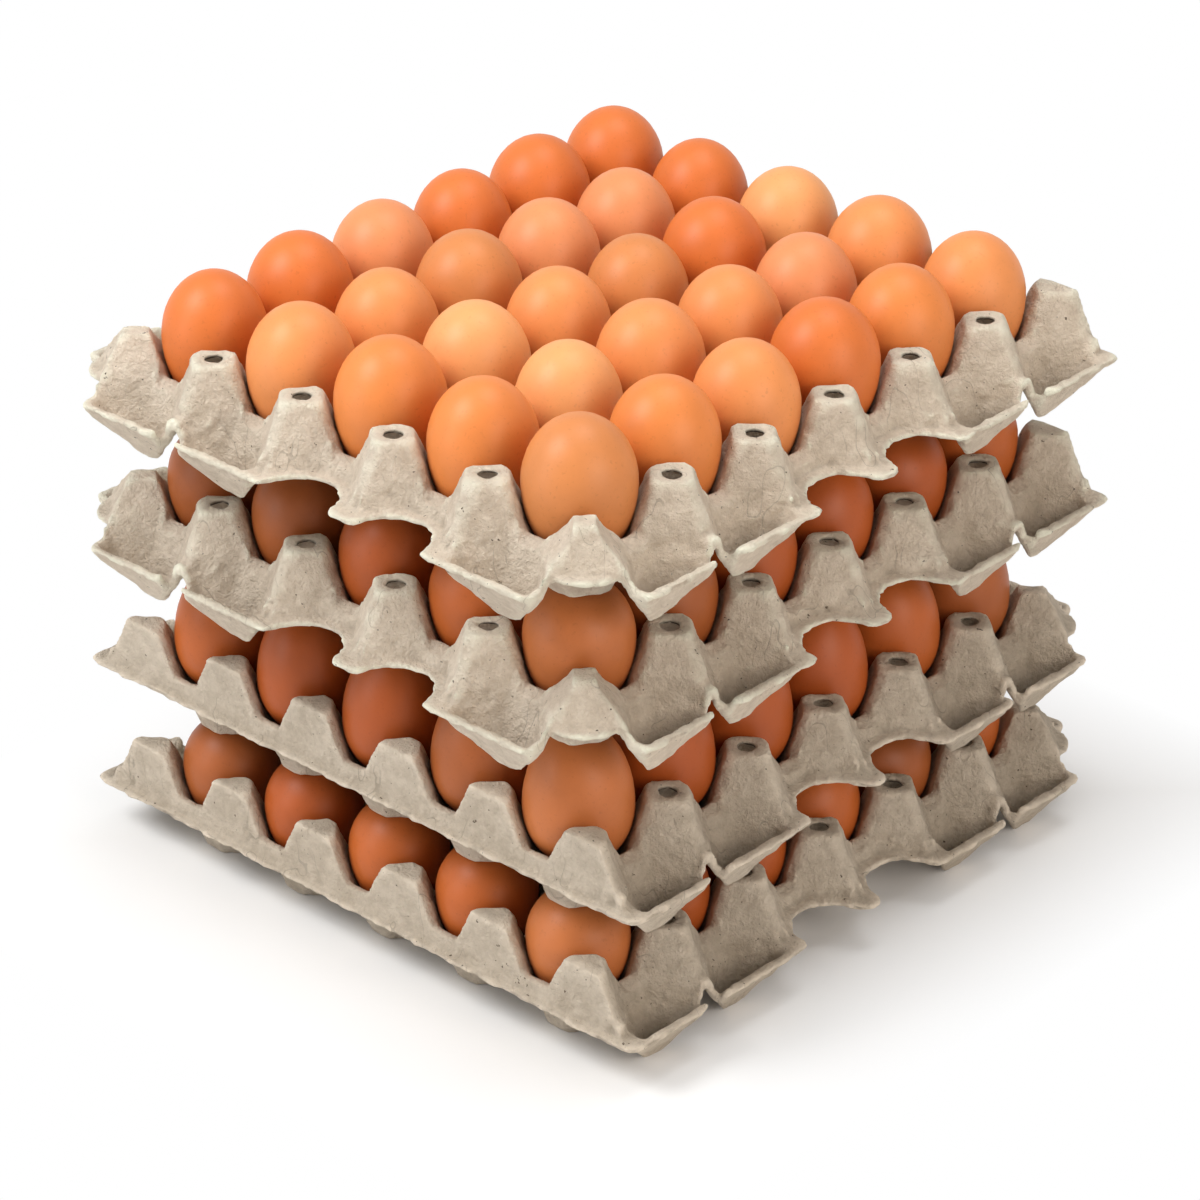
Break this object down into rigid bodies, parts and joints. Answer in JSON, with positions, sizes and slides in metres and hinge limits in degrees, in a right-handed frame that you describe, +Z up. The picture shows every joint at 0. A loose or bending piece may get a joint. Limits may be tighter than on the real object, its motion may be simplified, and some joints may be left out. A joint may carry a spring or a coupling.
{
  "type": "stack of loaded pulp egg trays",
  "caption": "Stack of square moulded-pulp egg trays, each cup holding a brown egg; hollow tapering posts between the cups, low margins with finger notches and round corners.",
  "frame": {"origin": "on the floor, under the middle of the stack's bounding box", "axes": "+Z up, +Y along the longer side of the stack and away from its front, where the upper trays have their wide margin and the lower trays their trimmed side; +X to the right seen from the front"},
  "size_m": [0.3076, 0.343, 0.2638],
  "materials": {
    "pulp_lower": "rough moulded pulp",
    "pulp_upper": "rough moulded pulp",
    "eggshell": "satin eggshell"
  },
  "bodies": {
    "root": {"tray_1": "pulp_lower", "tray_2": "pulp_lower", "tray_3": "pulp_upper", "tray_4": "pulp_upper", "eggs_layer_1_row_1": "eggshell", "eggs_layer_1_row_2": "eggshell", "eggs_layer_1_row_3": "eggshell", "eggs_layer_1_row_4": "eggshell", "eggs_layer_1_row_5": "eggshell", "eggs_layer_1_row_6": "eggshell", "eggs_layer_2_row_1": "eggshell", "eggs_layer_2_row_2": "eggshell", "eggs_layer_2_row_3": "eggshell", "eggs_layer_2_row_4": "eggshell", "eggs_layer_2_row_5": "eggshell", "eggs_layer_2_row_6": "eggshell", "eggs_layer_3_row_1": "eggshell", "eggs_layer_3_row_2": "eggshell", "eggs_layer_3_row_3": "eggshell", "eggs_layer_3_row_4": "eggshell", "eggs_layer_3_row_5": "eggshell", "eggs_layer_3_row_6": "eggshell", "egg_1_1": "eggshell", "egg_1_2": "eggshell", "egg_1_3": "eggshell", "egg_1_4": "eggshell", "egg_1_5": "eggshell", "egg_2_1": "eggshell", "egg_2_2": "eggshell", "egg_2_3": "eggshell", "egg_2_4": "eggshell", "egg_2_5": "eggshell", "egg_3_1": "eggshell", "egg_3_2": "eggshell", "egg_3_3": "eggshell", "egg_3_4": "eggshell", "egg_3_5": "eggshell", "egg_4_1": "eggshell", "egg_4_2": "eggshell", "egg_4_3": "eggshell", "egg_4_4": "eggshell", "egg_4_5": "eggshell", "egg_5_1": "eggshell", "egg_5_2": "eggshell", "egg_5_3": "eggshell", "egg_5_4": "eggshell", "egg_5_5": "eggshell", "egg_6_1": "eggshell", "egg_6_2": "eggshell", "egg_6_3": "eggshell", "egg_6_4": "eggshell", "egg_6_5": "eggshell"}
  },
  "joints": []
}
